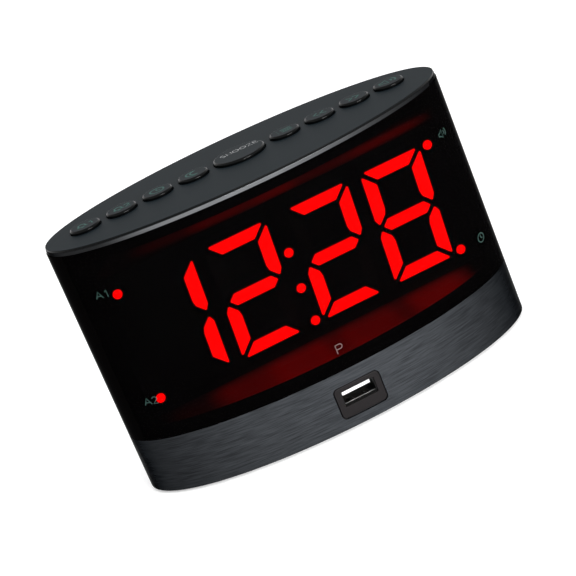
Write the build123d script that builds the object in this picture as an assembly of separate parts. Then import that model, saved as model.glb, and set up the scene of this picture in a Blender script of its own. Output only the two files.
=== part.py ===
"""Clock radio: an elliptical case with a curved dark window and a row of round top buttons.

Millimetres, +Z up. The origin is on the ground under the middle of the case, X runs the
long way and the window faces -Y. Every sub-part is written to parts/NODE.step.
"""
from build123d import *
from math import sqrt
import os

# ---- case --------------------------------------------------------------------------------
HALF_LENGTH = 77.5            # half of the case's ellipse along X
HALF_DEPTH = 35.0             # half of the case's ellipse along Y
FOOT_HEIGHT = 1.0             # the rubber feet lift the case by this much
BAND_HEIGHT = 21.3            # brushed band round the base
WINDOW_HEIGHT = 74.6          # dark window, from the band to the top
RIM_HEIGHT = 1.45             # upright rim below the top panel
SEAM = 0.12                   # shadow gap at a parting line
FIT = 0.05                    # gap between two parts fixed to each other
BAND_WALL = 1.0
TUB_WALL = 1.9
WINDOW_WALL = 2.0
COVER_WALL = 2.2
PLATE_THICK = 2.2
COVER_START_Y = 6.0           # the window wraps round both ends to here
LIP_LENGTH = 3.0              # lip of the rear cover, inside the window's ends
LIP_WALL = 1.1
SHELF_WIDTH = 3.0
SHELF_THICK = 2.0

BAND_Z0 = FOOT_HEIGHT
BAND_Z1 = BAND_Z0 + BAND_HEIGHT
WINDOW_Z0 = BAND_Z1 + SEAM
WINDOW_Z1 = BAND_Z1 + WINDOW_HEIGHT
RIM_Z1 = WINDOW_Z1 + RIM_HEIGHT
PLATE_Z1 = BAND_Z0 + PLATE_THICK

# ---- top panel and buttons ---------------------------------------------------------------
RIM_INSET = 0.3               # step in from the window to the rim
RIM_WIDTH = 1.5               # inside of the rim, in from the case's ellipse
PANEL_INSET = 0.5             # step in from the window to the panel's edge
PANEL_Z1 = RIM_Z1 + 0.85
PANEL_THICK = 2.7
LEDGE_WIDTH = 1.9             # ledge inside the rim, which carries the panel
LEDGE_THICK = 0.9
BUTTON_Y = 2.2
FIRST_BUTTON_X = 18.35        # from the snooze button to the first small one
BUTTON_PITCH = 14.2
BUTTON_R = 5.75
SNOOZE_R = 9.9
BUTTON_GAP = 0.3              # running gap between a button and its well
BUTTON_PROUD = 1.4
BUTTON_TRAVEL = 0.8
SNOOZE_TRAVEL = 1.0
COLLAR_OVERHANG = 0.95        # collar under the panel that keeps a button in
COLLAR_THICK = 1.0
STEM_R = 1.6
BUTTON_EDGE_R = 0.8
LEFT_BUTTONS = ["alarm_1_button", "alarm_2_button", "clock_set_button", "sleep_button"]
RIGHT_BUTTONS = ["preset_button", "tune_down_button", "tune_up_button", "volume_button"]

# ---- display -----------------------------------------------------------------------------
DISPLAY_Y = -14.0             # front face of the display block
DISPLAY_DEPTH = 8.0
DISPLAY_HALF_W = 66.0
DISPLAY_Z0 = FOOT_HEIGHT + 28.8
DISPLAY_Z1 = FOOT_HEIGHT + 83.2
LIGHT_PROUD = 0.06            # the lit windows stand a hair in front of the block
LIGHT_DEPTH = 2.0
LIGHT_GAP = 0.03
DIGIT_ZC = FOOT_HEIGHT + 55.5
DIGIT_W = 24.2
DIGIT_H = 43.4
UPRIGHT_STROKE = 4.95
LEVEL_STROKE = 4.5
SEGMENT_GAP = 1.65            # dark line between two segments, square across it
JOIN_X = 1.3                  # where three segments meet, in from the digit's edge
TIP_RISE = 2.2
INNER_CUT = 0.6
SEGMENT_CORNER_R = 0.42
LEAN = 0.052                  # sideways lean of the digits per unit of height
DIGIT_CENTRES = [-46.4, -17.05, 15.6, 45.3]
LIT = ["bc", "abdeg", "abdeg", "abcdefg"]
UNLIT = ["", "cf", "cf", ""]
DOT_R = 1.75
COLON_X = -0.65
COLON_RISE = 7.0
PM_DOT_DROP = 20.4
SIDE_DOT_X = 60.6
ALARM_DOT_X = -62.55
SIDE_DOT_RISE = 20.75

# ---- light well in front of the display --------------------------------------------------
WELL_Z0 = FOOT_HEIGHT + 26.1
WELL_Z1 = FOOT_HEIGHT + 91.8
WELL_WALL = 1.3
WELL_TOP = PANEL_Z1 - PANEL_THICK - 0.1
SILL_RUN = 3.0                # slope up from the floor to the display
BROW_RUN = 6.0                # slope down from the ceiling to the display

# ---- boards ------------------------------------------------------------------------------
BOARD_THICK = 1.6
MAIN_BOARD_Z1 = FOOT_HEIGHT + 8.3
KEY_BOARD_Z1 = 88.0
DISPLAY_BOARD_Y = DISPLAY_Y + DISPLAY_DEPTH
SWITCH_SIZE = 6.0
SWITCH_HEIGHT = 3.4
PLUNGER_R = 1.7
PLUNGER_RISE = 0.8
KEY_POSTS = [(-54.0, 9.6), (-25.5, 9.6), (25.5, 9.6), (54.0, 9.6)]
BOARD_POSTS = [(-46.0, -15.0), (-46.0, 15.0), (46.0, -15.0), (46.0, 15.0)]

# ---- sockets -----------------------------------------------------------------------------
BEZEL_W = 17.9
BEZEL_H = 11.8
BEZEL_Z = BAND_Z0 + 10.0
BEZEL_CORNER_R = 1.7
BEZEL_FACE_Y = -34.72
BEZEL_GAP = 0.32              # shadow gap between the bezel and the band
USB_W = 12.5                  # inside of the USB-A shell
USB_H = 5.12
USB_SHEET = 0.3
USB_Z = BAND_Z0 + 11.2
USB_MOUTH_Y = BEZEL_FACE_Y + 0.6
USB_LENGTH = 13.6
TONGUE_W = 11.1
TONGUE_H = 1.84
TONGUE_BACK_OFF = 2.4
DC_X = 20.0
DC_Z = MAIN_BOARD_Z1 + 5.5
DC_BORE_R = 3.2
DC_PIN_R = 1.0
DC_COLLAR_R = 4.2
DC_FACE_Y = 33.2

# ---- underside ---------------------------------------------------------------------------
FOOT_R = 5.0
FOOT_POINTS = [(-56.0, -11.5), (-56.0, 11.5), (56.0, -11.5), (56.0, 11.5)]
FOOT_SEAT = 0.5
CASE_SCREWS = [(-38.0, -25.0), (-38.0, 25.0), (38.0, -25.0), (38.0, 25.0)]
DOOR_X = -28.0
DOOR_HALF = 13.0
DOOR_GAP = 0.3
DOOR_THICK = 1.4
HINGE_Y = 12.2
HINGE_Z = BAND_Z0 + 1.0
KNUCKLE_R = 0.9
HINGE_PIN_R = 0.6
HINGE_PIN_PLAY = 0.06
CELL_R = 10.0
CELL_THICK = 3.2
CELL_Z0 = BAND_Z0 + DOOR_THICK + 0.7
CELL_Z1 = CELL_Z0 + CELL_THICK
CLIP_THICK = 0.3

# ---- speaker -----------------------------------------------------------------------------
SPEAKER_Z = 60.0
SPEAKER_R = 19.5
SPEAKER_FACE_Y = 31.0
GASKET_THICK = 0.6
GRILLE_R = 14.6
SLOT_HEIGHT = 1.8
SLOT_PITCH = 3.6


# ---- helpers -----------------------------------------------------------------------------
def prism(inset, z0, z1):
    """Upright solid on the case's ellipse, pulled in by inset."""
    outline = Ellipse(HALF_LENGTH - inset, HALF_DEPTH - inset)
    return Pos(0, 0, z0) * extrude(outline, z1 - z0)


def ring(inset, wall, z0, z1):
    """Upright elliptical wall whose outside is pulled in by inset."""
    return prism(inset, z0, z1) - prism(inset + wall, z0 - 1, z1 + 1)


def block(x0, x1, y0, y1, z0, z1):
    """Box between two corners."""
    middle = Pos((x0 + x1) / 2, (y0 + y1) / 2, (z0 + z1) / 2)
    return middle * Box(x1 - x0, y1 - y0, z1 - z0)


def post(x, y, radius, z0, z1):
    """Upright round post."""
    return Pos(x, y, (z0 + z1) / 2) * Cylinder(radius, z1 - z0)


def rod_y(x, z, radius, y0, y1):
    """Round rod along Y."""
    return Pos(x, (y0 + y1) / 2, z) * Rot(90, 0, 0) * Cylinder(radius, y1 - y0)


def rod_x(y, z, radius, x0, x1):
    """Round rod along X."""
    return Pos((x0 + x1) / 2, y, z) * Rot(0, 90, 0) * Cylinder(radius, x1 - x0)


def slab(sketch, y_front, y_back):
    """Plate from y_front back to y_back, on a sketch drawn in X and Z."""
    return extrude(Plane.XZ.offset(-y_back) * sketch, y_back - y_front)


def turned(points, z):
    """Solid of revolution about a line along Y at height z; points are (radius, y)."""
    profile = make_face(Polyline(*points, close=True))
    return Pos(0, 0, z) * revolve(profile, Axis.Y)


def group(parts):
    """Separate solids that share one node."""
    return Compound([solid for part in parts for solid in part.solids()])


def save(name, shape):
    """Write one node."""
    export_step(shape, f"parts/{name}.step")


def behind(shape, y):
    """What lies behind the plane at y."""
    return shape & block(-90, 90, y, 60, -10, 130)


def before(shape, y):
    """What lies in front of the plane at y."""
    return shape & block(-90, 90, -60, y, -10, 130)


def longest_edge(shape, face_level):
    """Longest edge among the lowest (0) or highest (-1) level of edges."""
    return shape.edges().group_by(Axis.Z)[face_level].sort_by(SortBy.LENGTH)[-1]


# ---- case --------------------------------------------------------------------------------
def bezel_outline(grow=0.0):
    """Rounded outline of the USB bezel."""
    frame = RectangleRounded(BEZEL_W + 2 * grow, BEZEL_H + 2 * grow, BEZEL_CORNER_R + grow)
    return Pos(0, BEZEL_Z) * frame


def base_band():
    """Brushed band round the base, with windows for the two sockets."""
    band = ring(0, BAND_WALL, BAND_Z0, BAND_Z1)
    band = fillet(longest_edge(band, 0), 0.4)
    band -= slab(bezel_outline(BEZEL_GAP), -HALF_DEPTH - 5, -30)
    return band - rod_y(DC_X, DC_Z, DC_COLLAR_R + 0.15, 28, 40)


def lower_case():
    """Tub behind the band, with a shelf for the upper case and four screw columns."""
    inset = BAND_WALL + FIT
    z1 = BAND_Z1 - FIT
    tub = ring(inset, TUB_WALL, PLATE_Z1, z1)
    tub += ring(inset, TUB_WALL + SHELF_WIDTH, z1 - SHELF_THICK, z1)
    for x, y in CASE_SCREWS:
        tub += post(x, y, 3.4, PLATE_Z1, 18) & prism(inset, PLATE_Z1, z1)
    for x, y in CASE_SCREWS:
        tub -= post(x, y, 1.45, 0, 15)
    tub -= slab(bezel_outline(0.12), -HALF_DEPTH - 5, -28)
    jack_room = block(DC_X - 5.2, DC_X + 5.2, 20, 40, PLATE_Z1 + 4, z1 - SHELF_THICK - 0.01)
    return tub - jack_room


def window():
    """Curved tinted window that wraps round both ends."""
    shell = ring(0, WINDOW_WALL, WINDOW_Z0, WINDOW_Z1)
    return before(shell, COVER_START_Y)


def rear_cover():
    """Rear shell with a lip inside the window's ends, a speaker seat and sound slots."""
    shell = behind(ring(0, COVER_WALL, WINDOW_Z0, WINDOW_Z1), COVER_START_Y + SEAM)
    lip = ring(WINDOW_WALL + FIT, LIP_WALL, WINDOW_Z0, WINDOW_Z1 - 0.6)
    lip = before(behind(lip, COVER_START_Y - LIP_LENGTH), COVER_START_Y + 4)
    seat = rod_y(0, SPEAKER_Z, SPEAKER_R, SPEAKER_FACE_Y + GASKET_THICK, HALF_DEPTH)
    seat &= prism(0.5, WINDOW_Z0, WINDOW_Z1)
    cover = shell + lip + seat
    cover -= rod_y(0, SPEAKER_Z, GRILLE_R + 0.4, 20, SPEAKER_FACE_Y + GASKET_THICK + 0.9)
    for row in range(-4, 5):
        rise = row * SLOT_PITCH
        length = max(2 * SLOT_HEIGHT, 2 * sqrt(max(0, GRILLE_R**2 - rise**2)))
        slot = Pos(0, SPEAKER_Z + rise) * SlotOverall(length, SLOT_HEIGHT)
        cover -= slab(slot, 25, 40)
    for x, z in speaker_screw_points():
        cover -= rod_y(x, z, 0.9, 25, 33)
    for side in (-1, 1):
        for row in range(6):
            vent = Pos(side * 44, 34 + row * 4) * SlotOverall(15, SLOT_HEIGHT)
            cover -= slab(vent, 20, 40)
    return cover


def top_rim():
    """Upright rim of the top, with a ledge inside for the panel."""
    z0 = WINDOW_Z1 + SEAM
    rim = prism(RIM_INSET, z0, RIM_Z1)
    rim = fillet(longest_edge(rim, -1), 0.12)
    rim -= prism(RIM_WIDTH, z0 + LEDGE_THICK, RIM_Z1 + 1)
    return rim - prism(RIM_WIDTH + LEDGE_WIDTH, z0 - 1, RIM_Z1 + 1)


def button_places():
    """Name, X, radius and travel of each button, from left to right."""
    places = []
    for i, name in enumerate(LEFT_BUTTONS):
        x = -FIRST_BUTTON_X - BUTTON_PITCH * (len(LEFT_BUTTONS) - 1 - i)
        places.append((name, x, BUTTON_R, BUTTON_TRAVEL))
    places.append(("snooze_button", 0.0, SNOOZE_R, SNOOZE_TRAVEL))
    for i, name in enumerate(RIGHT_BUTTONS):
        places.append((name, FIRST_BUTTON_X + BUTTON_PITCH * i, BUTTON_R, BUTTON_TRAVEL))
    return places


def top_panel():
    """Flat top panel that laps over the rim, with button wells and posts for the key board."""
    ledge_z = WINDOW_Z1 + SEAM + LEDGE_THICK
    z0 = PANEL_Z1 - PANEL_THICK
    cap = prism(PANEL_INSET, RIM_Z1 + FIT, PANEL_Z1)
    cap = fillet(longest_edge(cap, -1), 0.15)
    panel = cap + prism(RIM_WIDTH + 0.1, ledge_z, RIM_Z1 + FIT)
    panel += prism(RIM_WIDTH + LEDGE_WIDTH + FIT, z0, ledge_z)
    for x, y in KEY_POSTS:
        panel += post(x, y, 2.4, KEY_BOARD_Z1, z0)
    for x, y in KEY_POSTS:
        panel -= post(x, y, 0.95, KEY_BOARD_Z1 - 1, KEY_BOARD_Z1 + 6)
    for name, x, radius, travel in button_places():
        panel -= post(x, BUTTON_Y, radius + BUTTON_GAP, z0 - 1, PANEL_Z1 + 1)
    return panel


def button(x, radius, travel):
    """Round button: a disc in its well, a collar under the panel and a stem to its switch."""
    collar_z1 = PANEL_Z1 - PANEL_THICK - BUTTON_GAP
    plunger_z = KEY_BOARD_Z1 + SWITCH_HEIGHT + PLUNGER_RISE
    disc = post(x, BUTTON_Y, radius, collar_z1 - COLLAR_THICK, PANEL_Z1 + BUTTON_PROUD)
    disc = fillet(longest_edge(disc, -1), BUTTON_EDGE_R)
    collar = post(x, BUTTON_Y, radius + COLLAR_OVERHANG, collar_z1 - COLLAR_THICK, collar_z1)
    stem = post(x, BUTTON_Y, STEM_R, plunger_z + travel + 0.1, collar_z1)
    return disc + collar + stem


# ---- light well and display --------------------------------------------------------------
def display_surround():
    """Black light well between the window and the display, with masks round both ends."""
    inset = WINDOW_WALL + FIT + 0.1
    front = before(prism(inset, WINDOW_Z0, WELL_TOP), DISPLAY_Y + WELL_WALL)
    hollow = prism(inset + WELL_WALL, WINDOW_Z0 - 1, WELL_TOP + 1)
    hollow = before(hollow, DISPLAY_Y)
    floor = block(-90, 90, -60, DISPLAY_Y, WELL_Z0 - WELL_WALL, WELL_Z0)
    ceiling = block(-90, 90, -60, DISPLAY_Y, WELL_Z1, WELL_Z1 + WELL_WALL)
    sill = extrude(Plane.YZ * make_face(Polyline(
        (DISPLAY_Y, WELL_Z0 - 1), (DISPLAY_Y, DISPLAY_Z0),
        (DISPLAY_Y - SILL_RUN, WELL_Z0), (DISPLAY_Y - SILL_RUN, WELL_Z0 - 1), close=True)), 90, both=True)
    brow = extrude(Plane.YZ * make_face(Polyline(
        (DISPLAY_Y, WELL_Z1 + 1), (DISPLAY_Y, DISPLAY_Z1),
        (DISPLAY_Y - BROW_RUN, WELL_Z1), (DISPLAY_Y - BROW_RUN, WELL_Z1 + 1), close=True)), 90, both=True)
    kept = prism(inset, WINDOW_Z0, WELL_TOP)
    mouth = before(prism(inset - 1, WELL_Z0, WELL_Z1), DISPLAY_Y)
    well = (front - hollow - mouth) + ((floor + ceiling + sill + brow) & kept)
    opening = block(-DISPLAY_HALF_W - FIT, DISPLAY_HALF_W + FIT, -60, 0,
                    DISPLAY_Z0 - FIT, DISPLAY_Z1 + FIT)
    well -= behind(opening, DISPLAY_Y)
    masks = ring(inset, WELL_WALL, WINDOW_Z0, WELL_TOP)
    masks = before(behind(masks, DISPLAY_Y), COVER_START_Y - LIP_LENGTH - 0.2)
    return well + masks


def mirrored(points, across_x, across_z):
    """Digit points mirrored about the digit's own middle lines."""
    sx = -1 if across_x else 1
    sz = -1 if across_z else 1
    return [(sx * x, sz * z) for x, z in points]


def segment_points():
    """The seven segment outlines of an upright digit, about its centre."""
    w = DIGIT_W / 2
    h = DIGIT_H / 2
    mitre = SEGMENT_GAP / sqrt(2)
    half = LEVEL_STROKE / 2
    inner = UPRIGHT_STROKE
    top = [(-w + mitre, h), (w - mitre, h),
           (w - mitre - LEVEL_STROKE, h - LEVEL_STROKE), (-w + mitre + LEVEL_STROKE, h - LEVEL_STROKE)]
    tip = w - JOIN_X - mitre
    middle = [(-tip, 0), (-tip + half, half), (tip - half, half),
              (tip, 0), (tip - half, -half), (-tip + half, -half)]
    foot = mitre + inner - JOIN_X
    upright = [(w, h - mitre), (w - inner, h - mitre - inner), (w - inner, foot + 1.5),
               (w - inner + INNER_CUT, foot - INNER_CUT), (w - JOIN_X, mitre), (w, mitre + TIP_RISE)]
    return {
        "a": top,
        "b": upright,
        "c": mirrored(upright, False, True),
        "d": mirrored(top, False, True),
        "e": mirrored(upright, True, True),
        "f": mirrored(upright, True, False),
        "g": middle,
    }


def segment(letter, centre_x, shrink=0.0):
    """Sketch of one segment of a leaning digit, in X and Z."""
    points = [(centre_x + x + LEAN * z, DIGIT_ZC + z) for x, z in segment_points()[letter]]
    outline = make_face(Polyline(*points, close=True))
    outline = fillet(outline.vertices(), SEGMENT_CORNER_R)
    return offset(outline, -shrink) if shrink else outline


def chosen_segments(letters_by_digit, shrink=0.0):
    """Sketches of the named segments of every digit."""
    return [segment(letter, x, shrink)
            for x, letters in zip(DIGIT_CENTRES, letters_by_digit) for letter in letters]


def colon_points():
    """Centres of the two colon dots."""
    return [(COLON_X + LEAN * z, DIGIT_ZC + z) for z in (COLON_RISE, -COLON_RISE)]


def indicator_points():
    """Centres of the alarm, mode and afternoon dots."""
    rises = (SIDE_DOT_RISE, -SIDE_DOT_RISE)
    points = [(ALARM_DOT_X + 0.5 * LEAN * z, DIGIT_ZC + z) for z in rises]
    points += [(SIDE_DOT_X + LEAN * z, DIGIT_ZC + z) for z in rises]
    points.append((COLON_X, DIGIT_ZC - PM_DOT_DROP))
    return points


def dot(point, shrink=0.0):
    """Sketch of one round dot."""
    return Pos(*point) * Circle(DOT_R - shrink)


def display_block():
    """Black reflector block with one light cell for each segment and dot."""
    face = Pos(0, (DISPLAY_Z0 + DISPLAY_Z1) / 2) * Rectangle(
        2 * DISPLAY_HALF_W, DISPLAY_Z1 - DISPLAY_Z0)
    for cell in chosen_segments(LIT) + chosen_segments(UNLIT):
        face -= cell
    for point in colon_points() + indicator_points():
        face -= dot(point)
    return slab(face, DISPLAY_Y, DISPLAY_BOARD_Y)


def light_windows(sketches):
    """Translucent plugs in the front of the light cells."""
    return group([slab(s, DISPLAY_Y - LIGHT_PROUD, DISPLAY_Y + LIGHT_DEPTH) for s in sketches])


def display_leds():
    """One small lamp on the board behind each cell."""
    lamps = []
    for sketch in chosen_segments(LIT) + chosen_segments(UNLIT):
        spot = sketch.center()
        lamps.append(block(spot.X - 1.0, spot.X + 1.0, DISPLAY_BOARD_Y - 1.1, DISPLAY_BOARD_Y,
                           spot.Y - 0.8, spot.Y + 0.8))
    for x, z in colon_points() + indicator_points():
        lamps.append(block(x - 0.8, x + 0.8, DISPLAY_BOARD_Y - 1.1, DISPLAY_BOARD_Y, z - 0.6, z + 0.6))
    return group(lamps)


def display_board():
    """Circuit board on the back of the display block."""
    return block(-DISPLAY_HALF_W, DISPLAY_HALF_W, DISPLAY_BOARD_Y, DISPLAY_BOARD_Y + BOARD_THICK,
                 DISPLAY_Z0, DISPLAY_Z1)


# ---- boards inside -----------------------------------------------------------------------
def key_board():
    """Board under the buttons."""
    z0 = KEY_BOARD_Z1 - BOARD_THICK
    board = block(-67, 67, -8, 12.5, z0, KEY_BOARD_Z1)
    for x, y in KEY_POSTS:
        board -= post(x, y, 1.2, z0 - 1, KEY_BOARD_Z1 + 1)
    return board


def key_switches():
    """A push switch under each button."""
    switches = []
    half = SWITCH_SIZE / 2
    top = KEY_BOARD_Z1 + SWITCH_HEIGHT
    for name, x, radius, travel in button_places():
        body = block(x - half, x + half, BUTTON_Y - half, BUTTON_Y + half, KEY_BOARD_Z1, top)
        switches.append(body + post(x, BUTTON_Y, PLUNGER_R, top - 0.5, top + PLUNGER_RISE))
    return group(switches)


def main_board():
    """Main board on the bottom plate, with tabs under the USB and DC sockets."""
    z0 = MAIN_BOARD_Z1 - BOARD_THICK
    board = block(-52, 52, -19.5, 19.5, z0, MAIN_BOARD_Z1)
    board += block(-9, 9, -30.5, -19, z0, MAIN_BOARD_Z1)
    board += block(12, 28, 19, 28.5, z0, MAIN_BOARD_Z1)
    for x, y in BOARD_POSTS:
        board -= post(x, y, 1.3, z0 - 1, MAIN_BOARD_Z1 + 1)
    return board


def main_chips():
    """Processor, amplifier, charger and clock chips."""
    z = MAIN_BOARD_Z1
    places = [(-8, 6, 12, 12, 1.4), (12.5, -10, 5, 6, 1.5), (24, 4, 5, 6, 1.5), (8, 8, 4, 5, 1.4)]
    return group([block(x - w / 2, x + w / 2, y - d / 2, y + d / 2, z, z + h)
                  for x, y, w, d, h in places])


def capacitors():
    """Can capacitors on the main board."""
    places = [(-22, 12, 4.0, 11), (-33, 12, 3.15, 8), (33, -8, 4.0, 11), (33, 10, 3.15, 8)]
    return group([post(x, y, r, MAIN_BOARD_Z1, MAIN_BOARD_Z1 + h) for x, y, r, h in places])


def power_coil():
    """Wound coil of the charging supply."""
    coil = post(20, -14.5, 4.2, MAIN_BOARD_Z1, MAIN_BOARD_Z1 + 4.5)
    return fillet(longest_edge(coil, -1), 0.8)


def tuner_shield():
    """Metal can over the radio tuner."""
    return block(-42, -24, -15, -1, MAIN_BOARD_Z1, MAIN_BOARD_Z1 + 4)


def connectors():
    """Ribbon connectors on the three boards."""
    z = MAIN_BOARD_Z1
    back = DISPLAY_BOARD_Y + BOARD_THICK
    return group([
        block(-11, 11, back, back + 2.2, 33, 37),
        block(-11, 11, back, back + 2.2, z, z + 3.5),
        block(39, 53, 2, 4.4, KEY_BOARD_Z1 - BOARD_THICK - 3.5, KEY_BOARD_Z1 - BOARD_THICK),
        block(39, 51.5, 2, 4.4, z, z + 3.5),
    ])


def display_ribbon():
    """Flat cable from the display board down to the main board."""
    y = DISPLAY_BOARD_Y + BOARD_THICK + 1.0
    return block(-10, 10, y, y + 0.3, MAIN_BOARD_Z1 + 3.5, 33)


def key_ribbon():
    """Flat cable from the key board down to the main board."""
    return block(40, 51, 3.0, 3.3, MAIN_BOARD_Z1 + 3.5, KEY_BOARD_Z1 - BOARD_THICK - 3.5)


# ---- sockets -----------------------------------------------------------------------------
def usb_bezel():
    """Dark frame round the USB socket."""
    bezel = slab(bezel_outline(), BEZEL_FACE_Y, -31.5)
    face = bezel.faces().sort_by(Axis.Y)[0]
    bezel = fillet(face.edges(), 0.35)
    room = RectangleRounded(USB_W + 2 * USB_SHEET + 0.2, USB_H + 2 * USB_SHEET + 0.2, 0.5)
    return bezel - slab(Pos(0, USB_Z) * room, -40, -25)


def usb_shell():
    """Folded metal shell of the USB-A socket, with two sprung dimples in its floor."""
    outer = RectangleRounded(USB_W + 2 * USB_SHEET, USB_H + 2 * USB_SHEET, 0.45)
    inner = RectangleRounded(USB_W, USB_H, 0.2)
    back = USB_MOUTH_Y + USB_LENGTH
    shell = slab(Pos(0, USB_Z) * outer, USB_MOUTH_Y, back)
    shell -= slab(Pos(0, USB_Z) * inner, USB_MOUTH_Y - 1, back - USB_SHEET)
    floor_z = USB_Z - USB_H / 2
    for x in (-3.1, 3.1):
        dimple = block(x - 1.1, x + 1.1, USB_MOUTH_Y + 1.6, USB_MOUTH_Y + 5, floor_z - 0.1, floor_z + 0.4)
        shell += chamfer(dimple.edges().group_by(Axis.Z)[-1], 0.35)
    return shell


def usb_tongue():
    """Contact carrier inside the USB shell."""
    top = USB_Z + USB_H / 2 - 0.4
    back = USB_MOUTH_Y + USB_LENGTH - USB_SHEET
    tongue = block(-TONGUE_W / 2, TONGUE_W / 2, USB_MOUTH_Y + TONGUE_BACK_OFF, back,
                   top - TONGUE_H, top)
    heel = block(-USB_W / 2 + FIT, USB_W / 2 - FIT, back - 1.6, back,
                 USB_Z - USB_H / 2 + FIT, USB_Z + USB_H / 2 - FIT)
    return tongue + heel


def usb_contacts():
    """Four spring contacts on the underside of the tongue."""
    top = USB_Z + USB_H / 2 - 0.4 - TONGUE_H
    y0 = USB_MOUTH_Y + TONGUE_BACK_OFF + 0.8
    return group([block(x - 0.6, x + 0.6, y0, y0 + 8, top - 0.25, top) for x in (-3.5, -1, 1, 3.5)])


def dc_jack():
    """Power inlet body with a round collar through the band."""
    body = block(DC_X - 4.5, DC_X + 4.5, 20.5, 30.0, MAIN_BOARD_Z1, MAIN_BOARD_Z1 + 10.5)
    body += rod_y(DC_X, DC_Z, DC_COLLAR_R, 29, DC_FACE_Y)
    return body - rod_y(DC_X, DC_Z, DC_BORE_R, 23.5, 40)


def dc_pin():
    """Centre pin of the power inlet."""
    pin = rod_y(DC_X, DC_Z, DC_PIN_R, 23.5, DC_FACE_Y - 1.2)
    return fillet(pin.faces().sort_by(Axis.Y)[-1].edges(), 0.6)


# ---- underside ---------------------------------------------------------------------------
def bottom_plate():
    """Plate that closes the base, with board posts, foot seats and a cell compartment."""
    plate = prism(BAND_WALL + 0.15, BAND_Z0, PLATE_Z1)
    for x, y in BOARD_POSTS:
        plate += post(x, y, 2.6, PLATE_Z1, MAIN_BOARD_Z1 - BOARD_THICK)
    wall = DOOR_HALF + DOOR_GAP
    z_top = CELL_Z1 - 0.2
    plate += block(DOOR_X - wall - 1.2, DOOR_X + wall + 1.2, -wall - 1.2, wall + 1.2, PLATE_Z1, z_top)
    plate -= block(DOOR_X - wall, DOOR_X + wall, -wall, wall, BAND_Z0 - 1, PLATE_Z1)
    plate -= post(DOOR_X, 0, CELL_R + 0.3, 0, z_top + 1)
    side_x = DOOR_X + CELL_R
    plate -= block(side_x - 0.5, side_x + 0.8, -2.4, 2.4, PLATE_Z1, z_top + 1)
    for x, y in BOARD_POSTS:
        plate -= post(x, y, 0.95, PLATE_Z1, MAIN_BOARD_Z1)
    for x, y in CASE_SCREWS:
        plate -= post(x, y, 1.6, 0, 10)
        plate -= post(x, y, 3.1, 0, BAND_Z0 + 1.2)
    for x, y in FOOT_POINTS:
        plate -= post(x, y, FOOT_R + 0.1, 0, BAND_Z0 + FOOT_SEAT)
    plate -= rod_x(HINGE_Y, HINGE_Z, HINGE_PIN_R + HINGE_PIN_PLAY, DOOR_X - wall - 1.5, DOOR_X + wall + 1.5)
    return plate


def battery_door():
    """Small door over the backup cell, with a knuckle and two pivot pins at its rear."""
    x0 = DOOR_X - DOOR_HALF
    x1 = DOOR_X + DOOR_HALF
    door = block(x0, x1, -DOOR_HALF, HINGE_Y, BAND_Z0, BAND_Z0 + DOOR_THICK)
    door += rod_x(HINGE_Y, HINGE_Z, KNUCKLE_R, x0, x1)
    door += rod_x(HINGE_Y, HINGE_Z, HINGE_PIN_R, x0 - 1.3, x1 + 1.3)
    return door - post(DOOR_X, -DOOR_HALF - 1.5, 4.0, 0, BAND_Z0 + 0.7)


def coin_cell():
    """Backup cell that keeps the time through a power cut."""
    cell = post(DOOR_X, 0, CELL_R, CELL_Z0, CELL_Z1)
    return fillet(cell.edges().filter_by(GeomType.CIRCLE), 0.4)


def cell_clips():
    """Sprung contacts above and beside the cell."""
    z1 = MAIN_BOARD_Z1 - BOARD_THICK
    half = CLIP_THICK / 2
    top = block(DOOR_X - 3, DOOR_X + 3, -12, 12, CELL_Z1, CELL_Z1 + CLIP_THICK)
    for y in (-12 + half, 12 - half):
        top += block(DOOR_X - 3, DOOR_X + 3, y - half, y + half, CELL_Z1, z1)
    side_x = DOOR_X + CELL_R + 0.05
    side = block(side_x, side_x + CLIP_THICK, -2, 2, PLATE_Z1 + 0.3, z1)
    return group([top, side])


def feet():
    """Four rubber feet."""
    pads = []
    for x, y in FOOT_POINTS:
        pad = post(x, y, FOOT_R, 0, BAND_Z0 + FOOT_SEAT)
        pads.append(fillet(longest_edge(pad, 0), 0.35))
    return group(pads)


# ---- speaker -----------------------------------------------------------------------------
def speaker_screw_points():
    """X and Z of the speaker's four screws."""
    reach = 12.3
    return [(sx * reach, SPEAKER_Z + sz * reach) for sx in (-1, 1) for sz in (-1, 1)]


def speaker_frame():
    """Pressed steel basket."""
    y = SPEAKER_FACE_Y
    basket = turned([(15.4, y), (SPEAKER_R, y), (SPEAKER_R, y - 0.8), (16.0, y - 0.8), (11.0, y - 9.5),
                     (5.0, y - 9.5), (5.0, y - 8.9), (10.6, y - 8.9), (14.6, y - 1.5), (14.6, y - 0.7),
                     (15.4, y - 0.7)], SPEAKER_Z)
    for x, z in speaker_screw_points():
        basket -= rod_y(x, z, 0.95, y - 3, y + 1)
    return basket


def speaker_cone():
    """Paper cone with its dust cap."""
    y = SPEAKER_FACE_Y
    return turned([(0, y - 4.0), (3.0, y - 4.6), (4.5, y - 6.0), (13.8, y - 0.6), (15.3, y - 0.3),
                   (15.3, y - 0.7), (14.6, y - 0.7), (13.8, y - 1.1), (4.5, y - 6.6),
                   (0, y - 6.6)], SPEAKER_Z)


def speaker_magnet():
    """Ring magnet and back plate of the speaker."""
    y = SPEAKER_FACE_Y
    return turned([(0, y - 15.5), (9.8, y - 15.5), (9.8, y - 9.5), (0, y - 9.5)], SPEAKER_Z)


def speaker_gasket():
    """Foam ring between the speaker and the rear cover."""
    y = SPEAKER_FACE_Y
    ring_pad = turned([(15.4, y), (SPEAKER_R - 0.3, y), (SPEAKER_R - 0.3, y + GASKET_THICK),
                       (15.4, y + GASKET_THICK)], SPEAKER_Z)
    for x, z in speaker_screw_points():
        ring_pad -= rod_y(x, z, 0.95, y - 3, y + 3)
    return ring_pad


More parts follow.
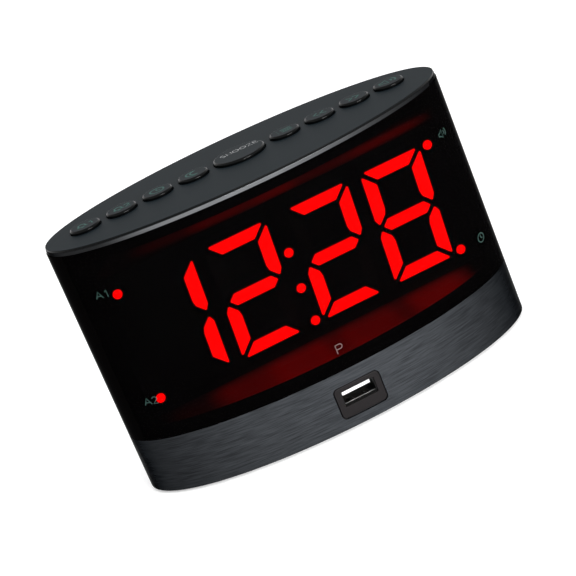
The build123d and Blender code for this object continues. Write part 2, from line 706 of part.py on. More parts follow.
def speaker_wires():
    """Two leads from the speaker down to the main board."""
    y = SPEAKER_FACE_Y - 13.5
    return group([post(x, y, 0.55, MAIN_BOARD_Z1, SPEAKER_Z - 9.65) for x in (-2.0, 2.0)])


# ---- screws ------------------------------------------------------------------------------
def screw(x, y, head_r, head_h, shank_r, z_head, z_tip):
    """Pan-head screw; the tip is above or below the head."""
    up = 1 if z_tip > z_head else -1
    inner = z_head + up * head_h
    head = post(x, y, head_r, min(z_head, inner), max(z_head, inner))
    shank = post(x, y, shank_r, min(inner, z_tip), max(inner, z_tip))
    slot_z = z_head + up * 0.25
    return head + shank - block(x - head_r, x + head_r, y - 0.3, y + 0.3,
                                min(z_head, slot_z), max(z_head, slot_z))


def case_screws():
    """Four screws through the bottom plate into the lower case."""
    return group([screw(x, y, 2.8, 1.0, 1.4, BAND_Z0 + 0.2, 14.0) for x, y in CASE_SCREWS])


def board_screws():
    """Four screws that hold the main board."""
    return group([screw(x, y, 2.0, 1.2, 0.9, MAIN_BOARD_Z1 + 1.2, PLATE_Z1 + 0.5)
                  for x, y in BOARD_POSTS])


def key_screws():
    """Four screws that hold the key board to the top panel."""
    z = KEY_BOARD_Z1 - BOARD_THICK
    return group([screw(x, y, 1.8, 1.1, 0.9, z - 1.1, KEY_BOARD_Z1 + 5) for x, y in KEY_POSTS])


def speaker_screws():
    """Four screws that hold the speaker to the rear cover."""
    y = SPEAKER_FACE_Y - 0.8
    return group([rod_y(x, z, 1.3, y - 1.1, y) + rod_y(x, z, 0.85, y, 32.8)
                  for x, z in speaker_screw_points()])


# ---- write the nodes ---------------------------------------------------------------------
os.makedirs("parts", exist_ok=True)
save("base_band", base_band())
save("lower_case", lower_case())
save("window", window())
save("rear_cover", rear_cover())
save("top_rim", top_rim())
save("top_panel", top_panel())
for name, x, radius, travel in button_places():
    save(name, button(x, radius, travel))
save("display_surround", display_surround())
save("display_block", display_block())
save("lit_segments", light_windows(chosen_segments(LIT, LIGHT_GAP)))
save("unlit_segments", light_windows(chosen_segments(UNLIT, LIGHT_GAP)))
save("colon_dots", light_windows([dot(p, LIGHT_GAP) for p in colon_points()]))
save("indicator_dots", light_windows([dot(p, LIGHT_GAP) for p in indicator_points()]))
save("display_leds", display_leds())
save("display_board", display_board())
save("key_board", key_board())
save("key_switches", key_switches())
save("main_board", main_board())
save("main_chips", main_chips())
save("capacitors", capacitors())
save("power_coil", power_coil())
save("tuner_shield", tuner_shield())
save("connectors", connectors())
save("display_ribbon", display_ribbon())
save("key_ribbon", key_ribbon())
save("usb_bezel", usb_bezel())
save("usb_shell", usb_shell())
save("usb_tongue", usb_tongue())
save("usb_contacts", usb_contacts())
save("dc_jack", dc_jack())
save("dc_pin", dc_pin())
save("bottom_plate", bottom_plate())
save("battery_door", battery_door())
save("coin_cell", coin_cell())
save("cell_clips", cell_clips())
save("feet", feet())
save("speaker_frame", speaker_frame())
save("speaker_cone", speaker_cone())
save("speaker_magnet", speaker_magnet())
save("speaker_gasket", speaker_gasket())
save("speaker_wires", speaker_wires())
save("case_screws", case_screws())
save("board_screws", board_screws())
save("key_screws", key_screws())
save("speaker_screws", speaker_screws())
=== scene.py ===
"""Looks of a clock radio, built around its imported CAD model.

Metres, in the CAD model's frame: +Z up, X along the case, the display towards -Y.
Each material is a node tree, and each printed mark is a thin piece that lies on its CAD part.
"""
import math

import bmesh
import bpy
from mathutils import Matrix, Vector


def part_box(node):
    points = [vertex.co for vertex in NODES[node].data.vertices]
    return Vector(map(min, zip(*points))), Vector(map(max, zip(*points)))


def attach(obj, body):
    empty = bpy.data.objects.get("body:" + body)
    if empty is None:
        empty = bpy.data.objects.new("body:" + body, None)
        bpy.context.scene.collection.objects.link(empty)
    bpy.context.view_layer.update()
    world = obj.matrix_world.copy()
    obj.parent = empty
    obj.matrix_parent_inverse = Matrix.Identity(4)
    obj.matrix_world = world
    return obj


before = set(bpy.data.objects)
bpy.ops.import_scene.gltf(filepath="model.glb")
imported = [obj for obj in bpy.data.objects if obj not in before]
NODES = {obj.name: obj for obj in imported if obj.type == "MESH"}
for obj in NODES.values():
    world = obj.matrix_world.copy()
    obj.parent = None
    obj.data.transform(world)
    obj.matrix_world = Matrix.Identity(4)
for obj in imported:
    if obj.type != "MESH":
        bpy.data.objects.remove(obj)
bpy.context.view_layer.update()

MM = 0.001
BAND_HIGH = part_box("base_band")[1]
HALF_LENGTH = BAND_HIGH[0]
HALF_DEPTH = BAND_HIGH[1]
SMALL_BUTTONS = ["alarm_1_button", "alarm_2_button", "clock_set_button", "sleep_button",
                 "preset_button", "tune_down_button", "tune_up_button", "volume_button"]

# ---- camera ------------------------------------------------------------------------------
CAMERA_AZIMUTH = math.radians(-11.0)
CAMERA_ELEVATION = math.radians(18.76)
CAMERA_ROLL = math.radians(-22.55)
CAMERA_DISTANCE = 0.710
CAMERA_TARGET = Vector((-2.73, 0.0, 46.91)) * MM
CAMERA_LENS = 121.7

# ---- prints ------------------------------------------------------------------------------
INK_THICK = 0.02 * MM
LETTER_STROKE = 0.36 * MM
ICON_STROKE = 0.65 * MM
ICON_SIZE = 3.3 * MM
INK_GREEN = (0.018, 0.044, 0.038)
INK_TEAL = (0.010, 0.060, 0.050)
INK_GREY = (0.115, 0.080, 0.080)
INK_WHITE = (0.26, 0.265, 0.27)

# ---- painted glow inside the window ------------------------------------------------------
WELL_FLOOR = 27.1 * MM        # floor of the light well
SILL_TOP = 29.8 * MM          # where the sill meets the display
BROW_FOOT = 84.2 * MM         # where the ceiling's slope meets the display
BROW_LINE_UP = 2.3 * MM       # painted red glow line on that slope, above its foot
BROW_LOW_X = 14 * MM          # where that line is lowest
BROW_BOW = 0.52               # how fast the line rises towards the ends, per metre
# strength of the painted red glow in the well, which is no lamp
WELL_PAINTED_GLOW = 1.1
# X, half-width and strength of each patch of painted glow, next to the lit parts of the digits
FLOOR_PATCHES = [(-53, 13, 0.04), (-33, 17, 0.46), (-13, 14, 0.72), (2, 11, 0.45), (18, 15, 0.60),
                 (44, 17.5, 0.80)]
BROW_PATCHES = [(-38, 18, 0.10), (-18, 16, 0.35), (2, 12, 0.48), (20, 14, 0.20), (46, 22, 0.43)]

# ---- tones -------------------------------------------------------------------------------
WINDOW_ALPHA = 0.72
WINDOW_IOR = 1.012
BORDER_BLACK = 3.4 * MM       # the window is opaque this near to its tips
BORDER_CLEAR = 4.4 * MM       # and only tinted beyond this
PANEL_COLOUR = (0.0030, 0.0070, 0.0098)
# near-black of the panel's and buttons' sides and top edges: painted shade
SIDE_PAINTED_SHADE = (0.0010, 0.0012, 0.0013)
TOP_SPECULAR = 0.068
EDGE_TINT = (0.35, 0.35, 0.35)
HIGHLIGHT_DEPTH = 1.6 * MM          # painted highlight line on the USB shell, behind its mouth
HIGHLIGHT_HEIGHT = 0.32 * MM        # and up to this height, on the shell's floor only
STEEL_DARK = (0.014, 0.014, 0.014)
STEEL_HIGHLIGHT = (0.50, 0.50, 0.50)

# ---- studio ------------------------------------------------------------------------------
FLOOR_SIZE = 4.0
FLOOR_COLOUR = (0.92, 0.92, 0.92)
FLOOR_GLOW = 0.34
SURROUND = 1.10
LAMP_PLACE = (0.28, -0.9, 0.36)
LAMP_AIM = (0, 0, 0.08)
LAMP_WIDTH = 0.60
LAMP_HEIGHT = 0.14
LAMP_POWER = 12.0


# ---- shader nodes ------------------------------------------------------------------------
def add_node(tree, kind, links=(), **values):
    """Adds a shader node; values are its properties or its sockets, links are its inputs."""
    made = tree.nodes.new("ShaderNode" + kind)
    for key, value in values.items():
        if hasattr(made, key):
            setattr(made, key, value)
    for key, value in values.items():
        if not hasattr(made, key):
            made.inputs[key.replace("_", " ")].default_value = value
    for key, source in dict(links).items():
        tree.links.new(source, made.inputs[key])
    return made


def noise(tree, size, stretch=(1.0, 1.0, 1.0), detail=3.0):
    """Noise in the row frame, with a grain about size across; stretch divides it per axis."""
    coords = add_node(tree, "TexCoord").outputs["Object"]
    scale = tuple(1.0 / (size * s) for s in stretch)
    scaled = add_node(tree, "Mapping", {"Vector": coords}, Scale=scale).outputs[0]
    return add_node(tree, "TexNoise", {"Vector": scaled}, Scale=1.0, Detail=detail).outputs["Fac"]


def ranged(tree, source, low, high, from_low=0.3, from_high=0.7):
    """Maps a value to the span from low to high."""
    return add_node(tree, "MapRange", {"Value": source}, From_Min=from_low, From_Max=from_high,
                    To_Min=low, To_Max=high).outputs[0]


def between(tree, factor, colour_a, colour_b):
    """Colour that a factor picks between two."""
    ramp = add_node(tree, "ValToRGB", {"Fac": factor})
    ramp.color_ramp.elements[0].color = (*colour_a, 1.0)
    ramp.color_ramp.elements[1].color = (*colour_b, 1.0)
    return ramp.outputs[0]


def maths(tree, operation, *values):
    """Result of a Math node on values, which are sockets or numbers."""
    made = add_node(tree, "Math", operation=operation)
    for socket, value in zip(made.inputs, values):
        if isinstance(value, (int, float)):
            socket.default_value = value
        else:
            tree.links.new(value, socket)
    return made.outputs[0]


def position(tree):
    """Sockets X, Y and Z of a point's position in the row frame."""
    coords = add_node(tree, "TexCoord").outputs["Object"]
    return add_node(tree, "SeparateXYZ", {"Vector": coords}).outputs


def fade(tree, source, start, end, low=0.0, high=1.0):
    """Smooth step from high at start to low at end."""
    return add_node(tree, "MapRange", {"Value": source}, interpolation_type="SMOOTHSTEP",
                    From_Min=start, From_Max=end, To_Min=high, To_Max=low).outputs[0]


def shade(colour, share):
    """A colour made lighter or darker by a share of itself."""
    return tuple(min(1.0, c * share) for c in colour)


def new_material(name):
    """Material with one Principled shader; returns the material, its tree and the shader."""
    mat = bpy.data.materials.new(name)
    mat.use_nodes = True
    tree = mat.node_tree
    tree.nodes.clear()
    shader = add_node(tree, "BsdfPrincipled")
    add_node(tree, "OutputMaterial", {"Surface": shader.outputs[0]})
    return mat, tree, shader


def finish(name, colour, roughness, metallic=0.0, mottle=0.12, patch=6 * MM, grain=0.35 * MM,
           stretch=(1.0, 1.0, 1.0), relief=0.01 * MM, swing=0.06, specular=0.5):
    """Material with patchy colour, grain in its roughness and a fine relief."""
    mat, tree, shader = new_material(name)
    shader.inputs["Metallic"].default_value = metallic
    shader.inputs["Specular IOR Level"].default_value = specular
    broad = noise(tree, patch, stretch)
    fine = noise(tree, grain, stretch, detail=4.0)
    factor = ranged(tree, maths(tree, "ADD", broad, fine), 0.0, 1.0, 0.7, 1.3)
    mottled = between(tree, factor, shade(colour, 1 - mottle), shade(colour, 1 + mottle))
    tree.links.new(mottled, shader.inputs["Base Color"])
    rough = ranged(tree, fine, roughness - swing, roughness + swing)
    tree.links.new(rough, shader.inputs["Roughness"])
    bump = add_node(tree, "Bump", {"Height": fine}, Strength=0.6, Distance=relief)
    tree.links.new(bump.outputs[0], shader.inputs["Normal"])
    return mat


def tinted_window():
    """Smoke-tinted, polished plastic with faint moulding haze and a black border at both ends."""
    mat, tree, shader = new_material("smoke_window")
    width = maths(tree, "ABSOLUTE", position(tree)["X"])
    border = fade(tree, width, HALF_LENGTH - BORDER_BLACK, HALF_LENGTH - BORDER_CLEAR)
    tree.links.new(maths(tree, "MAXIMUM", border, WINDOW_ALPHA), shader.inputs["Alpha"])
    shader.inputs["IOR"].default_value = WINDOW_IOR
    haze = noise(tree, 14 * MM)
    tree.links.new(between(tree, haze, (0.0006, 0.0005, 0.0005), (0.0012, 0.0010, 0.0011)),
                   shader.inputs["Base Color"])
    tree.links.new(ranged(tree, haze, 0.07, 0.11), shader.inputs["Roughness"])
    return mat


def brushed_painted_shade(name, colour, edge_share, left, right, grain, run, roughness, swing):
    """Brushed metal with painted shade towards both ends.

    The painted shade darkens the colour to edge_share between the two X (mm) of left, and of right.
    """
    mat, tree, shader = new_material(name)
    shader.inputs["Metallic"].default_value = 1.0
    shader.inputs["Specular IOR Level"].default_value = 0.2
    shader.inputs["Specular Tint"].default_value = (*EDGE_TINT, 1.0)
    fine = noise(tree, grain, (run, run, 1.0), detail=5.0)
    strokes = between(tree, ranged(tree, fine, 0.0, 1.0, 0.34, 0.66),
                      shade(colour, 1 - swing), shade(colour, 1 + swing))
    along = position(tree)["X"]
    # painted shade: the colour falls to edge_share towards both ends, where less light falls
    to_left = fade(tree, along, left[0] * MM, left[1] * MM, edge_share, 1.0)
    to_right = fade(tree, along, right[0] * MM, right[1] * MM, edge_share, 1.0)
    painted_shade = maths(tree, "MULTIPLY", to_left, to_right)
    mixed = add_node(tree, "Mix", data_type="RGBA", blend_type="MULTIPLY")
    mixed.inputs[0].default_value = 1.0
    tree.links.new(strokes, mixed.inputs[6])
    tree.links.new(painted_shade, mixed.inputs[7])
    tree.links.new(mixed.outputs[2], shader.inputs["Base Color"])
    tree.links.new(ranged(tree, fine, roughness - 0.08, roughness + 0.08), shader.inputs["Roughness"])
    bump = add_node(tree, "Bump", {"Height": fine}, Strength=0.5, Distance=0.008 * MM)
    tree.links.new(bump.outputs[0], shader.inputs["Normal"])
    return mat


def painted_glow_patches(tree, along, places):
    """Sum of soft patches of painted glow along X; each is its middle, half-width (mm) and strength.
    """
    total = 0.0
    for middle, half, strength in places:
        off = maths(tree, "ABSOLUTE", maths(tree, "SUBTRACT", along, middle * MM))
        total = maths(tree, "ADD", fade(tree, off, 0.35 * half * MM, half * MM, 0.0, strength), total)
    return total


def well_plastic_painted_glow():
    """Satin black well with painted red glow along its floor and its ceiling slope, standing for
    light from the digits beside them.
    """
    mat = finish("well_black_painted_glow", (0.0040, 0.0032, 0.0032), 0.45, relief=0, specular=0.06)
    tree = mat.node_tree
    shader = next(n for n in tree.nodes if n.type == "BSDF_PRINCIPLED")
    spot = position(tree)
    above_base = fade(tree, spot["Z"], WELL_FLOOR - 0.05 * MM, WELL_FLOOR - 0.15 * MM)
    below_sill = fade(tree, spot["Z"], WELL_FLOOR + 0.3 * MM, SILL_TOP + 0.6 * MM)
    floor = maths(tree, "MULTIPLY", above_base, below_sill)
    floor = maths(tree, "MULTIPLY", floor, painted_glow_patches(tree, spot["X"], FLOOR_PATCHES))
    off = maths(tree, "SUBTRACT", spot["X"], BROW_LOW_X)
    bow = maths(tree, "MULTIPLY", maths(tree, "MULTIPLY", off, off), BROW_BOW)
    straight = maths(tree, "SUBTRACT", spot["Z"], bow)
    above = maths(tree, "SUBTRACT", straight, BROW_FOOT + BROW_LINE_UP)
    line = fade(tree, maths(tree, "ABSOLUTE", above), 0.2 * MM, 2.9 * MM)
    brow_glow = maths(tree, "MULTIPLY", line, painted_glow_patches(tree, spot["X"], BROW_PATCHES))
    cloud = ranged(tree, noise(tree, 9 * MM), 0.86, 1.0)
    # painted glow: emission on the well's floor and brow, standing for light from the digits
    lit = maths(tree, "MULTIPLY", maths(tree, "ADD", floor, brow_glow), cloud)
    glow = between(tree, lit, (0, 0, 0), (1.0, 0.0, 0.0))
    tree.links.new(glow, shader.inputs["Emission Color"])
    shader.inputs["Emission Strength"].default_value = WELL_PAINTED_GLOW
    return mat


def top_over_painted_dark_sides(name, top_z, rounding, top_roughness, side_roughness, specular):
    """Satin upper face over glossy sides painted near-black as painted shade, for a moulding whose
    top is at a given height.
    """
    mat, tree, shader = new_material(name)
    shader.inputs["Specular IOR Level"].default_value = specular
    fine = noise(tree, 0.35 * MM, detail=4.0)
    broad = noise(tree, 6 * MM)
    # painted shade: within rounding below the top face, the colour goes to the sides' near-black
    share = fade(tree, position(tree)["Z"], top_z - rounding, top_z, 1.0, 0.0)
    grain = ranged(tree, maths(tree, "ADD", fine, broad), 0.86, 1.0, 0.7, 1.3)
    grained = maths(tree, "MULTIPLY", share, grain)
    tree.links.new(between(tree, grained, SIDE_PAINTED_SHADE, PANEL_COLOUR), shader.inputs["Base Color"])
    rough = ranged(tree, share, side_roughness, top_roughness, 0.0, 1.0)
    tree.links.new(rough, shader.inputs["Roughness"])
    bump = add_node(tree, "Bump", {"Height": fine}, Strength=0.6, Distance=0.008 * MM)
    tree.links.new(bump.outputs[0], shader.inputs["Normal"])
    return mat


def socket_steel():
    """Dull steel of the USB shell, with a painted highlight line on its floor behind its mouth."""
    mat, tree, shader = new_material("socket_steel")
    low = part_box("usb_shell")[0]
    spot = position(tree)
    depth = maths(tree, "SUBTRACT", spot["Y"], low[1] + HIGHLIGHT_DEPTH)
    line = fade(tree, maths(tree, "ABSOLUTE", depth), 0.1 * MM, 0.45 * MM)
    lower = fade(tree, spot["Z"], low[2] + HIGHLIGHT_HEIGHT, low[2] + HIGHLIGHT_HEIGHT + 0.06 * MM)
    # painted highlight: a bright, less metallic line across the shell's floor
    painted_highlight = maths(tree, "MULTIPLY", line, lower)
    scratches = noise(tree, 0.2 * MM, (6.0, 1.0, 1.0))
    tree.links.new(between(tree, painted_highlight, STEEL_DARK, STEEL_HIGHLIGHT), shader.inputs["Base Color"])
    tree.links.new(ranged(tree, painted_highlight, 1.0, 0.2, 0.0, 1.0), shader.inputs["Metallic"])
    tree.links.new(ranged(tree, scratches, 0.34, 0.5), shader.inputs["Roughness"])
    return mat


def glowing(name, colour, strength, mottle=0.04):
    """Surface that gives off its own colour, a little unevenly; at strength 0 it is dark."""
    mat, tree, shader = new_material(name)
    cloud = noise(tree, 5 * MM)
    body = between(tree, cloud, shade(colour, 0.8), colour)
    tree.links.new(body, shader.inputs["Base Color"])
    tree.links.new(ranged(tree, cloud, 0.45, 0.6), shader.inputs["Roughness"])
    glow = between(tree, cloud, shade(colour, 1 - mottle), colour)
    tree.links.new(glow, shader.inputs["Emission Color"])
    shader.inputs["Emission Strength"].default_value = strength
    return mat


# ---- materials by node -------------------------------------------------------------------
def dress(names, mat):
    """Gives CAD nodes a material."""
    for name in names:
        mesh = NODES[name].data
        mesh.materials.clear()
        mesh.materials.append(mat)


def dress_all():
    """Every CAD node gets its finish."""
    dress(["window"], tinted_window())
    # band and rim get painted shade towards their ends; the rim's brightest place, a painted
    # highlight, sits left of the middle
    dress(["base_band"],
          brushed_painted_shade("dark_brushed_band", (0.0345, 0.0375, 0.0415), edge_share=0.38, left=(-36, -80),
                    right=(26, 84), grain=0.30 * MM, run=26.0, roughness=0.42, swing=0.34))
    dress(["top_rim"],
          brushed_painted_shade("satin_rim", (0.119, 0.122, 0.128), edge_share=0.13, left=(-38, -64),
                    right=(-40, 64), grain=0.5 * MM, run=12.0, roughness=0.36, swing=0.08))
    # panel and buttons: painted shade darkens their sides and top edges
    dress(["top_panel"],
          top_over_painted_dark_sides("panel_plastic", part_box("top_panel")[1][2], rounding=0.12 * MM,
                   top_roughness=0.6, side_roughness=0.3, specular=TOP_SPECULAR))
    dress(SMALL_BUTTONS + ["snooze_button"],
          top_over_painted_dark_sides("button_plastic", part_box("snooze_button")[1][2], rounding=0.05 * MM,
                   top_roughness=0.6, side_roughness=0.13, specular=0.09))
    dress(["rear_cover", "lower_case", "bottom_plate", "battery_door"],
          finish("case_plastic", (0.024, 0.024, 0.026), 0.55, relief=0.03 * MM, grain=0.5 * MM))
    dress(["display_surround"], well_plastic_painted_glow())
    dress(["display_block"],
          finish("block_black", (0.0030, 0.0024, 0.0024), 0.5, relief=0.004 * MM, specular=0.15))
    red = (1.0, 0.0, 0.0)
    dress(["lit_segments", "colon_dots", "indicator_dots"], glowing("lit_red", red, 16.0))
    dress(["unlit_segments"], glowing("unlit_red", (0.012, 0.002, 0.002), 0.0))
    dress(["display_leds"], glowing("lamp_red", (0.8, 0.05, 0.04), 1.0))
    dress(["display_board", "key_board", "main_board"],
          finish("solder_resist", (0.018, 0.120, 0.050), 0.32, patch=3 * MM, mottle=0.3))
    dress(["key_switches", "main_chips", "power_coil"],
          finish("chip_epoxy", (0.018, 0.018, 0.018), 0.5, grain=0.2 * MM))
    dress(["capacitors"], finish("can_aluminium", (0.62, 0.62, 0.64), 0.3, 1.0, stretch=(1, 1, 20)))
    dress(["usb_shell"], socket_steel())
    dress(["tuner_shield", "cell_clips", "dc_pin", "speaker_frame"],
          finish("tin_plate", (0.55, 0.55, 0.56), 0.28, 1.0, patch=2 * MM, relief=0.003 * MM))
    dress(["coin_cell"], finish("cell_nickel", (0.66, 0.65, 0.62), 0.24, 1.0))
    dress(["connectors"], finish("nylon", (0.70, 0.68, 0.62), 0.5, mottle=0.05))
    dress(["usb_tongue"], finish("tongue_white", (0.80, 0.80, 0.80), 0.45, mottle=0.04))
    dress(["display_ribbon", "key_ribbon"],
          finish("ribbon", (0.42, 0.42, 0.44), 0.45, mottle=0.25, stretch=(1, 1, 60), grain=0.6 * MM))
    dress(["usb_bezel", "dc_jack"],
          finish("socket_plastic", (0.0036, 0.0024, 0.0028), 0.45, relief=0.004 * MM, specular=0.15))
    dress(["usb_contacts"], finish("contact_gold", (0.80, 0.55, 0.20), 0.25, 1.0))
    dress(["feet"], finish("foot_rubber", (0.02, 0.02, 0.02), 0.8, relief=0.02 * MM))
    dress(["speaker_cone"],
          finish("cone_paper", (0.03, 0.03, 0.03), 0.9, grain=0.8 * MM, relief=0.05 * MM))
    dress(["speaker_magnet"], finish("ferrite", (0.05, 0.05, 0.052), 0.6))
    dress(["speaker_gasket"], finish("foam", (0.03, 0.03, 0.03), 0.95, relief=0.06 * MM))
    dress(["speaker_wires"], finish("wire_sleeve", (0.25, 0.01, 0.01), 0.5))
    dress(["case_screws", "board_screws", "key_screws", "speaker_screws"],
          finish("zinc", (0.50, 0.50, 0.47), 0.32, 1.0, patch=1 * MM, mottle=0.2))


# ---- printed marks -----------------------------------------------------------------------
def on_window(u, v, lift):
    """A point on the window's outside: u along X, v up, lift outwards."""
    along = math.sqrt(1 - (u / HALF_LENGTH) ** 2)
    outward = Vector((u / HALF_LENGTH**2, -along / HALF_DEPTH, 0)).normalized()
    return Vector((u, -HALF_DEPTH * along, v)) + outward * lift


def on_top(name):
    """Mapper to the top face of a button."""
    low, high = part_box(name)
    centre_x = (low[0] + high[0]) / 2
    centre_y = (low[1] + high[1]) / 2

    def place(u, v, lift):
        return Vector((centre_x + u, centre_y + v, high[2] + lift))
    return place


def line_art(lines, width):
    """Curve of round-ended strokes about its own middle; each line is a list of (u, v) points."""
    curve = bpy.data.curves.new("lines", "CURVE")
    curve.dimensions = "3D"
    curve.bevel_depth = width / 2
    curve.bevel_resolution = 2
    curve.use_fill_caps = True
    for points in lines:
        spline = curve.splines.new("POLY")
        spline.points.add(len(points) - 1)
        for point, (u, v) in zip(spline.points, points):
            point.co = (u, v, 0, 1)
    return curve


def arc(centre, radius, start, end, steps=16):
    """Points of an arc, in degrees."""
    turns = [math.radians(start + (end - start) * i / steps) for i in range(steps + 1)]
    return [(centre[0] + radius * math.cos(t), centre[1] + radius * math.sin(t)) for t in turns]


def scaled(lines, size, centre=(0.0, 0.0)):
    """Lines drawn in units of size, moved to a centre."""
    return [[(centre[0] + u * size, centre[1] + v * size) for u, v in line] for line in lines]


def letter(name):
    """Strokes of a capital or a numeral, one unit tall, with its width."""
    bowl = arc((0.50, 0.74), 0.26, 90, -90, 10)
    upper = arc((0.30, 0.745), 0.255, 50, 270, 12)
    lower = arc((0.30, 0.255), 0.235, 90, -130, 12)
    ring = arc((0, 0), 0.38, 0, 360, 24)
    shapes = {
        "A": ([[(0, 0), (0.42, 1), (0.84, 0)], [(0.15, 0.34), (0.69, 0.34)]], 0.84),
        "P": ([[(0.02, 0), (0.02, 1), (0.50, 1)] + bowl[1:] + [(0.02, 0.48)]], 0.78),
        "1": ([[(0, 0.76), (0.24, 1), (0.24, 0)]], 0.30),
        "2": ([arc((0.29, 0.72), 0.28, 165, -30, 12) + [(0.02, 0), (0.60, 0)]], 0.60),
        "S": ([upper + lower], 0.58),
        "N": ([[(0, 0), (0, 1), (0.62, 0), (0.62, 1)]], 0.62),
        "O": ([[(0.38 + u, 0.5 + v * 1.25) for u, v in ring]], 0.76),
        "Z": ([[(0, 1), (0.58, 1), (0, 0), (0.60, 0)]], 0.60),
        "E": ([[(0.52, 1), (0, 1), (0, 0), (0.54, 0)], [(0, 0.52), (0.46, 0.52)]], 0.54),
    }
    return shapes[name]


def word(text, height, centre, gap=0.26):
    """Strokes of a word of plain capitals and numerals, centred on a point."""
    lines = []
    reach = 0.0
    for name in text:
        strokes, width = letter(name)
        lines += [[(reach + u, v - 0.5) for u, v in line] for line in strokes]
        reach += width + gap
    half = (reach - gap) / 2
    return scaled([[(u - half, v) for u, v in line] for line in lines], height, centre)


def mark(name, curve, place, body, ink):
    """Lays a curve on a surface as a thin piece of ink."""
    holder = bpy.data.objects.new("holder", curve)
    bpy.context.scene.collection.objects.link(holder)
    bpy.context.view_layer.update()
    depsgraph = bpy.context.evaluated_depsgraph_get()
    mesh = bpy.data.meshes.new_from_object(holder.evaluated_get(depsgraph))
    bpy.data.objects.remove(holder)
    flat = max(abs(v.co.z) for v in mesh.vertices)
    for vertex in mesh.vertices:
        u, v, w = vertex.co
        vertex.co = place(u, v, (w / flat + 0.6) * INK_THICK / 2)
    piece = bpy.data.objects.new(name, mesh)
    bpy.context.scene.collection.objects.link(piece)
    mesh.materials.clear()
    mesh.materials.append(ink)
    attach(piece, body)


def speaker_icon():
    """Loudspeaker with two sound waves, two units wide."""
    horn = [(-1.0, -0.3), (-1.0, 0.3), (-0.62, 0.3), (-0.1, 0.8), (-0.1, -0.8), (-0.62, -0.3),
            (-1.0, -0.3)]
    return [horn, arc((-0.1, 0), 0.55, -42, 42, 8), arc((-0.1, 0), 1.0, -42, 42, 10)]


def bell_icon():
    """Alarm bell with its clapper."""
    body = [(-0.75, -0.5), (-0.5, -0.2), (-0.5, 0.2)] + arc((0, 0.2), 0.5, 165, 15, 10)
    body += [(0.5, 0.2), (0.5, -0.2), (0.75, -0.5), (-0.75, -0.5)]
    return [body, arc((0, -0.62), 0.2, 200, 340, 6), [(0, 0.7), (0, 0.9)]]


def clock_icon():
    """Round clock face with two hands."""
    return [arc((0, 0), 0.8, 0, 360, 28), [(0, 0.5), (0, 0), (0.38, -0.18)]]


def moon_icon():
    """Crescent moon."""
    outer = arc((0, 0), 0.8, 60, 300, 22)
    inner = arc((0.42, 0), 0.7, 270, 90, 16)
    return [outer + inner + outer[:1]]


def preset_icon():
    """Three list bars with a dot before each."""
    rows = (-0.5, 0, 0.5)
    bars = [[(-0.35, v), (0.9, v)] for v in rows]
    dots = [[(-0.8, v), (-0.72, v)] for v in rows]
    return bars + dots


def arrows_icon(way):
    """Two chevrons that point left (-1) or right (1)."""
    return [[(way * (x - 0.3), 0.6), (way * (x + 0.3), 0), (way * (x - 0.3), -0.6)]
            for x in (-0.45, 0.35)]


def numbered(lines, number):
    """An icon pushed left, with a numeral at its right."""
    pushed = [[(u - 0.4, v) for u, v in line] for line in lines]
    return scaled(pushed + word(number, 1.3, (0.95, 0)), 0.78)


def window_marks():
    """Alarm labels, the mode letter and two icons on the window."""
    green = finish("ink_green", INK_GREEN, 0.5, mottle=0.1, specular=0.1)
    grey = finish("ink_grey", INK_GREY, 0.5, mottle=0.1, specular=0.1)
    labels = [("label_alarm_1", word("A1", 2.6 * MM, (-67.5 * MM, 80.6 * MM), 0.36), green),
              ("label_alarm_2", word("A2", 2.6 * MM, (-67.1 * MM, 37.7 * MM), 0.2), green),
              ("label_mode", word("P", 3.3 * MM, (-0.8 * MM, 30.4 * MM)), grey),
              ("icon_sound", scaled(speaker_icon(), 1.9 * MM, (67.4 * MM, 79.8 * MM)), green),
              ("icon_mode", scaled(clock_icon(), 2.0 * MM, (67.2 * MM, 37.7 * MM)), green)]
    for name, lines, ink in labels:
        mark(name, line_art(lines, LETTER_STROKE), on_window, "case", ink)


def button_marks():
    """A printed icon on each small button and a word on the large one."""
    teal = finish("ink_teal", INK_TEAL, 0.5, mottle=0.1, specular=0.1)
    white = finish("ink_white", INK_WHITE, 0.5, mottle=0.05, specular=0.1)
    icons = [numbered(bell_icon(), "1"), numbered(bell_icon(), "2"), clock_icon(), moon_icon(),
             preset_icon(), arrows_icon(-1), arrows_icon(1), speaker_icon()]
    for name, lines in zip(SMALL_BUTTONS, icons):
        curve = line_art(scaled(lines, ICON_SIZE), ICON_STROKE)
        mark("icon_" + name.replace("_button", ""), curve, on_top(name), name, teal)
    curve = line_art(word("SNOOZE", 2.95 * MM, (1.1 * MM, 2.9 * MM), 0.22), LETTER_STROKE)
    mark("label_snooze", curve, on_top("snooze_button"), "snooze_button", white)


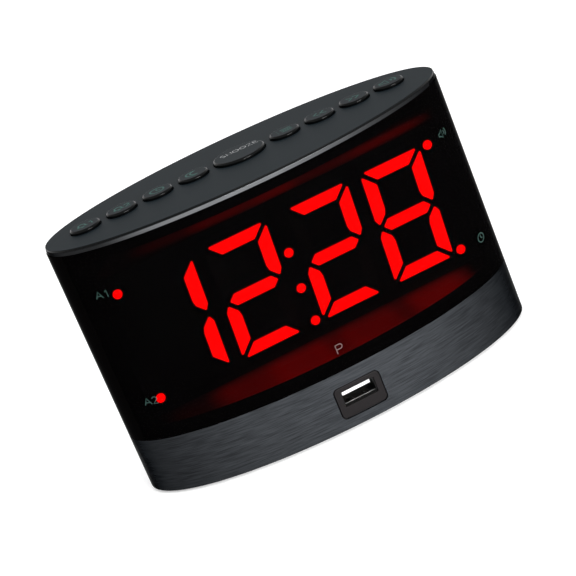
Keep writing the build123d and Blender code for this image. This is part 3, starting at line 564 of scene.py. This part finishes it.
def camera():
    """Camera that looks down on the front from the left, tilted about its own line of sight."""
    away = Vector((math.sin(CAMERA_AZIMUTH) * math.cos(CAMERA_ELEVATION),
                   -math.cos(CAMERA_AZIMUTH) * math.cos(CAMERA_ELEVATION),
                   math.sin(CAMERA_ELEVATION)))
    level = (-away).cross(Vector((0, 0, 1))).normalized()
    up = level.cross(-away)
    right = math.cos(CAMERA_ROLL) * level + math.sin(CAMERA_ROLL) * up
    top = -math.sin(CAMERA_ROLL) * level + math.cos(CAMERA_ROLL) * up
    data = bpy.data.cameras.new("camera")
    data.lens = CAMERA_LENS
    data.sensor_width = 36.0
    data.clip_start = 0.01
    shown = bpy.data.objects.new("camera", data)
    turn = Matrix((right, top, away)).transposed()
    shown.matrix_world = Matrix.Translation(CAMERA_TARGET + away * CAMERA_DISTANCE) @ turn.to_4x4()
    bpy.context.scene.collection.objects.link(shown)
    bpy.context.scene.camera = shown


def area_light(name, place, aim, width, height, power):
    """Soft rectangular lamp that faces a point."""
    data = bpy.data.lights.new(name, "AREA")
    data.shape = "RECTANGLE"
    data.size = width
    data.size_y = height
    data.energy = power
    lamp = bpy.data.objects.new(name, data)
    lamp.location = place
    lamp.rotation_euler = (Vector(aim) - Vector(place)).to_track_quat("-Z", "Y").to_euler()
    bpy.context.scene.collection.objects.link(lamp)


def studio():
    """Pale floor, a white surround and one soft lamp in front."""
    mesh = bpy.data.meshes.new("floor")
    made = bmesh.new()
    bmesh.ops.create_grid(made, x_segments=8, y_segments=8, size=FLOOR_SIZE)
    made.to_mesh(mesh)
    made.free()
    floor = bpy.data.objects.new("floor", mesh)
    bpy.context.scene.collection.objects.link(floor)
    floor.data.materials.append(glowing("floor_paper", FLOOR_COLOUR, FLOOR_GLOW))
    world = bpy.data.worlds.new("studio")
    bpy.context.scene.world = world
    world.use_nodes = True
    background = world.node_tree.nodes["Background"]
    background.inputs["Color"].default_value = (1, 1, 1, 1)
    background.inputs["Strength"].default_value = SURROUND
    area_light("front", LAMP_PLACE, LAMP_AIM, LAMP_WIDTH, LAMP_HEIGHT, LAMP_POWER)


bpy.context.scene.view_settings.view_transform = "Standard"
camera()
studio()
dress_all()
window_marks()
button_marks()
bpy.context.view_layer.update()
